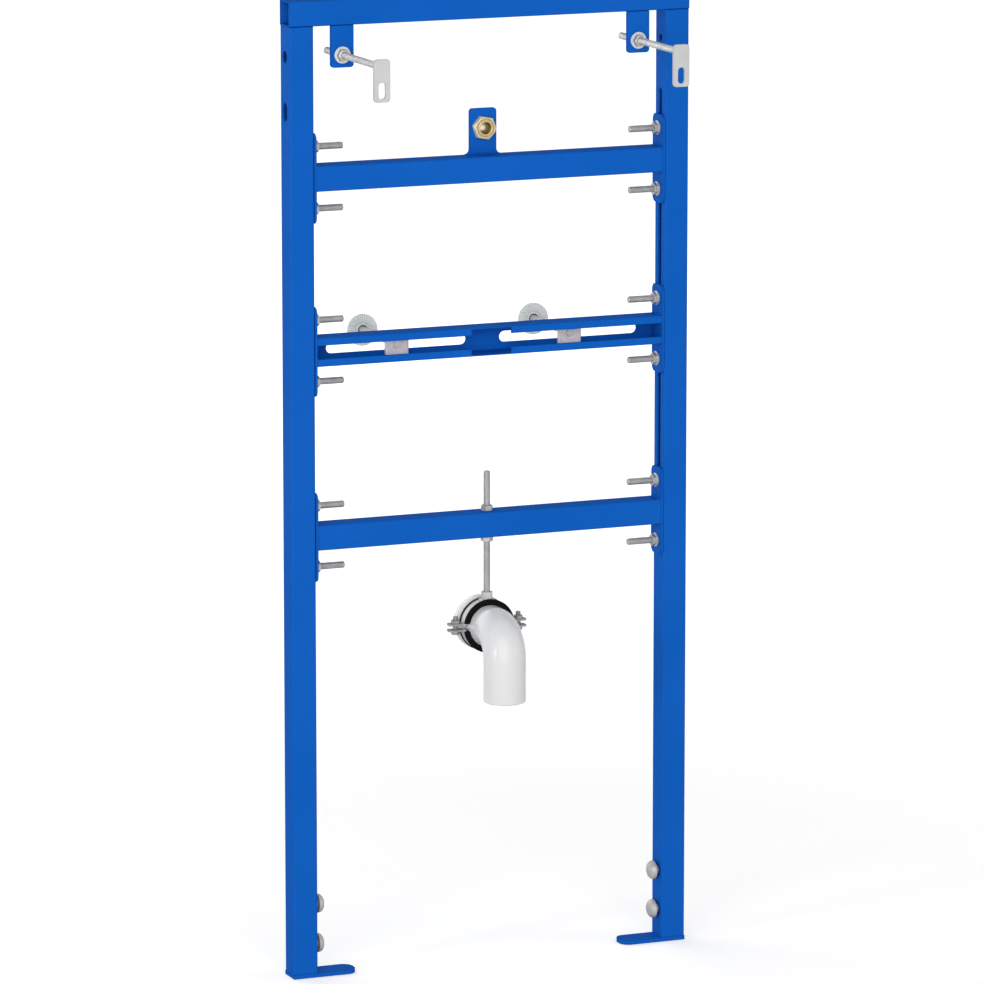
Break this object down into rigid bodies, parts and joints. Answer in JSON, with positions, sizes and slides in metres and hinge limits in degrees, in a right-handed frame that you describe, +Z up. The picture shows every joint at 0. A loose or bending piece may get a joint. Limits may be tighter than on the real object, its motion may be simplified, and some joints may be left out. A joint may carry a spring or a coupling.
{
  "type": "urinal installation frame",
  "caption": "Free-standing tube frame with slotted posts, bolted crossbars, threaded studs, a brass water connector and a clamped waste elbow, for hanging a urinal.",
  "frame": {"origin": "on the floor, at the underside of the left foot's sole, under the left post's axis", "axes": "+Z up, +X along the crossbars towards the right post, +Y towards the urinal, -Y towards the building wall"},
  "size_m": [0.5, 0.291, 1.15],
  "materials": {
    "blue_powder_coat": "satin blue powder coat",
    "zinc_fastener": "bright zinc",
    "cast_nut": "dull zinc",
    "galvanised_plate": "satin galvanised",
    "clamp_steel": "satin zinc",
    "brass": "turned brass",
    "white_pipe": "smooth white polypropylene",
    "white_nylon": "matt off-white",
    "black_rubber": "matt black"
  },
  "bodies": {
    "root": {"clamp_lower_band": "clamp_steel", "clamp_lower_lining": "black_rubber", "clamp_screw_nuts": "zinc_fastener", "clamp_screws": "zinc_fastener", "clamp_upper_band": "clamp_steel", "clamp_upper_lining": "black_rubber", "foot_bolts": "zinc_fastener", "hanger_rod": "zinc_fastener", "hanger_rod_nuts": "zinc_fastener", "left_channel_nut": "cast_nut", "left_fixture_stud": "zinc_fastener", "left_foot": "blue_powder_coat", "left_post": "blue_powder_coat", "left_wall_plate": "galvanised_plate", "left_wall_rod": "zinc_fastener", "left_wall_tab": "blue_powder_coat", "lower_crossbar": "blue_powder_coat", "lower_crossbar_bolts": "zinc_fastener", "lower_crossbar_end_plates": "blue_powder_coat", "lower_crossbar_nuts": "zinc_fastener", "right_channel_nut": "cast_nut", "right_fixture_stud": "zinc_fastener", "right_foot": "blue_powder_coat", "right_post": "blue_powder_coat", "right_wall_plate": "galvanised_plate", "right_wall_rod": "zinc_fastener", "right_wall_tab": "blue_powder_coat", "slotted_crossbar": "blue_powder_coat", "slotted_crossbar_bolts": "zinc_fastener", "slotted_crossbar_end_plates": "blue_powder_coat", "slotted_crossbar_nuts": "zinc_fastener", "stud_discs": "white_nylon", "top_rail": "blue_powder_coat", "upper_crossbar": "blue_powder_coat", "upper_crossbar_bolts": "zinc_fastener", "upper_crossbar_end_plates": "blue_powder_coat", "upper_crossbar_nuts": "zinc_fastener", "wall_rod_nuts": "zinc_fastener", "wall_rod_washers": "zinc_fastener", "waste_elbow": "white_pipe", "waste_elbow_seal": "black_rubber", "water_connector": "brass", "water_connector_nut": "brass", "water_tab": "blue_powder_coat"}
  },
  "joints": []
}
